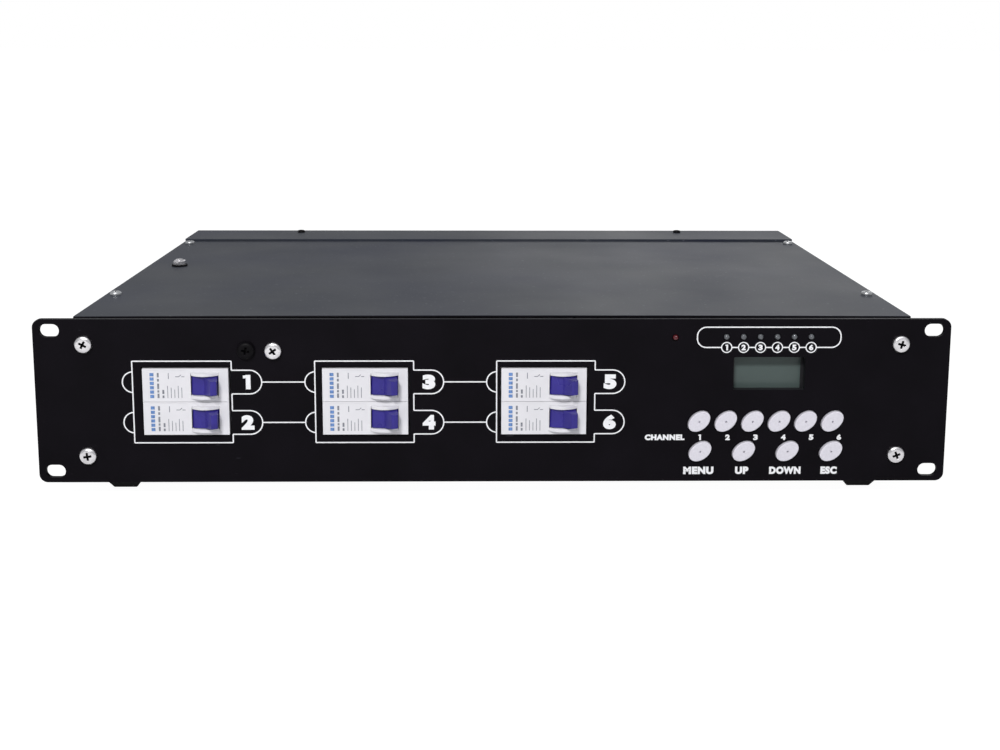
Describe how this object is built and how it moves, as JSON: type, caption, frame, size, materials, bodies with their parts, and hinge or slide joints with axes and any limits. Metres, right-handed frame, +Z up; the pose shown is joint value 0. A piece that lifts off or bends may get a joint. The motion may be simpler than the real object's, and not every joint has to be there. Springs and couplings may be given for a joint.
{
  "type": "rack dimmer pack",
  "caption": "Rack dimmer pack: a flat steel case with circuit breakers in front windows, key pad, small display, rear signal sockets, cable glands and fan.",
  "frame": {"origin": "middle of the box, on the surface that the feet stand on", "axes": "+X along the front panel to the right, +Y from the front panel to the back, +Z up"},
  "size_m": [0.4826, 0.3534, 0.1026],
  "materials": {
    "panel_black": "satin black powder coat with white print",
    "cover_grey": "matte blue grey powder coat, lightly scuffed",
    "nickel": "bright nickel plate",
    "black_steel": "blackened steel",
    "zinc_steel": "zinc plate",
    "rubber": "matte",
    "breaker_white": "satin moulded plastic",
    "toggle_blue": "satin moulded plastic",
    "button_grey": "satin moulded plastic",
    "display_green": "liquid crystal glass, switched off",
    "board_green": "solder resist",
    "board_brown": "bare laminate",
    "lamp_clear": "clear lens, switched off",
    "lamp_red": "red lens",
    "aluminium": "mill finish extrusion",
    "copper_winding": "enamelled copper wire",
    "core_steel": "varnished laminations",
    "plastic_black": "satin moulded plastic",
    "plastic_grey": "moulded plastic"
  },
  "bodies": {
    "casing": {"front_panel": "panel_black", "chassis_tray": "cover_grey", "rear_panel": "cover_grey", "top_cover": "cover_grey", "terminal_cover": "cover_grey", "cover_bolt": "nickel", "panel_screw_top_left": "nickel", "panel_screw_bottom_left": "nickel", "panel_screw_top_right": "nickel", "panel_screw_bottom_right": "nickel", "panel_screw_earth": "nickel", "panel_screw_black": "black_steel", "foot_front_left": "rubber", "foot_front_right": "rubber", "foot_rear_left": "rubber", "foot_rear_right": "rubber", "breaker_bracket": "zinc_steel", "breaker_1": "breaker_white", "breaker_2": "breaker_white", "breaker_3": "breaker_white", "breaker_4": "breaker_white", "breaker_5": "breaker_white", "breaker_6": "breaker_white", "display_glass": "display_green", "control_board": "board_green", "channel_led_bar": "lamp_clear", "power_led": "lamp_red", "power_board": "board_brown", "heatsink": "aluminium", "choke_1": "copper_winding", "choke_2": "copper_winding", "choke_3": "copper_winding", "choke_4": "copper_winding", "choke_5": "copper_winding", "choke_6": "copper_winding", "transformer": "core_steel", "fan_frame": "plastic_black", "dmx_input_socket": "nickel", "dmx_output_socket": "nickel", "mains_gland": "plastic_black", "load_gland": "plastic_black", "terminal_block": "plastic_grey"},
    "toggle_1": {"breaker_toggle_1": "toggle_blue"},
    "toggle_2": {"breaker_toggle_2": "toggle_blue"},
    "toggle_3": {"breaker_toggle_3": "toggle_blue"},
    "toggle_4": {"breaker_toggle_4": "toggle_blue"},
    "toggle_5": {"breaker_toggle_5": "toggle_blue"},
    "toggle_6": {"breaker_toggle_6": "toggle_blue"},
    "channel_key_1": {"channel_button_1": "button_grey"},
    "channel_key_2": {"channel_button_2": "button_grey"},
    "channel_key_3": {"channel_button_3": "button_grey"},
    "channel_key_4": {"channel_button_4": "button_grey"},
    "channel_key_5": {"channel_button_5": "button_grey"},
    "channel_key_6": {"channel_button_6": "button_grey"},
    "menu_key": {"menu_button": "button_grey"},
    "up_key": {"up_button": "button_grey"},
    "down_key": {"down_button": "button_grey"},
    "esc_key": {"esc_button": "button_grey"},
    "rotor": {"fan_rotor": "plastic_black"},
    "latch": {"dmx_output_latch": "plastic_black"}
  },
  "joints": [
    {"name": "toggle_1_throw", "type": "hinge", "parent": "casing", "child": "toggle_1", "pos_m": [-0.15199, -0.1621, 0.06225], "axis": [0, 0, 1], "range_deg": [-46, 0]},
    {"name": "toggle_2_throw", "type": "hinge", "parent": "casing", "child": "toggle_2", "pos_m": [-0.15199, -0.1621, 0.04425], "axis": [0, 0, 1], "range_deg": [-46, 0]},
    {"name": "toggle_3_throw", "type": "hinge", "parent": "casing", "child": "toggle_3", "pos_m": [-0.05769, -0.1621, 0.06225], "axis": [0, 0, 1], "range_deg": [-46, 0]},
    {"name": "toggle_4_throw", "type": "hinge", "parent": "casing", "child": "toggle_4", "pos_m": [-0.05769, -0.1621, 0.04425], "axis": [0, 0, 1], "range_deg": [-46, 0]},
    {"name": "toggle_5_throw", "type": "hinge", "parent": "casing", "child": "toggle_5", "pos_m": [0.03661, -0.1621, 0.06225], "axis": [0, 0, 1], "range_deg": [-46, 0]},
    {"name": "toggle_6_throw", "type": "hinge", "parent": "casing", "child": "toggle_6", "pos_m": [0.03661, -0.1621, 0.04425], "axis": [0, 0, 1], "range_deg": [-46, 0]},
    {"name": "channel_key_1_press", "type": "slide", "parent": "casing", "child": "channel_key_1", "axis": [0, 1, 0], "range_m": [0, 0.0008], "stiffness_N_per_m": 1500},
    {"name": "channel_key_2_press", "type": "slide", "parent": "casing", "child": "channel_key_2", "axis": [0, 1, 0], "range_m": [0, 0.0008], "stiffness_N_per_m": 1500},
    {"name": "channel_key_3_press", "type": "slide", "parent": "casing", "child": "channel_key_3", "axis": [0, 1, 0], "range_m": [0, 0.0008], "stiffness_N_per_m": 1500},
    {"name": "channel_key_4_press", "type": "slide", "parent": "casing", "child": "channel_key_4", "axis": [0, 1, 0], "range_m": [0, 0.0008], "stiffness_N_per_m": 1500},
    {"name": "channel_key_5_press", "type": "slide", "parent": "casing", "child": "channel_key_5", "axis": [0, 1, 0], "range_m": [0, 0.0008], "stiffness_N_per_m": 1500},
    {"name": "channel_key_6_press", "type": "slide", "parent": "casing", "child": "channel_key_6", "axis": [0, 1, 0], "range_m": [0, 0.0008], "stiffness_N_per_m": 1500},
    {"name": "menu_key_press", "type": "slide", "parent": "casing", "child": "menu_key", "axis": [0, 1, 0], "range_m": [0, 0.0008], "stiffness_N_per_m": 1500},
    {"name": "up_key_press", "type": "slide", "parent": "casing", "child": "up_key", "axis": [0, 1, 0], "range_m": [0, 0.0008], "stiffness_N_per_m": 1500},
    {"name": "down_key_press", "type": "slide", "parent": "casing", "child": "down_key", "axis": [0, 1, 0], "range_m": [0, 0.0008], "stiffness_N_per_m": 1500},
    {"name": "esc_key_press", "type": "slide", "parent": "casing", "child": "esc_key", "axis": [0, 1, 0], "range_m": [0, 0.0008], "stiffness_N_per_m": 1500},
    {"name": "fan_spin", "type": "hinge", "parent": "casing", "child": "rotor", "pos_m": [0.0563, 0.14, 0.05325], "axis": [0, 1, 0], "continuous": true},
    {"name": "latch_press", "type": "slide", "parent": "casing", "child": "latch", "axis": [0, -1, 0], "range_m": [0, 0.0012], "stiffness_N_per_m": 2000}
  ]
}
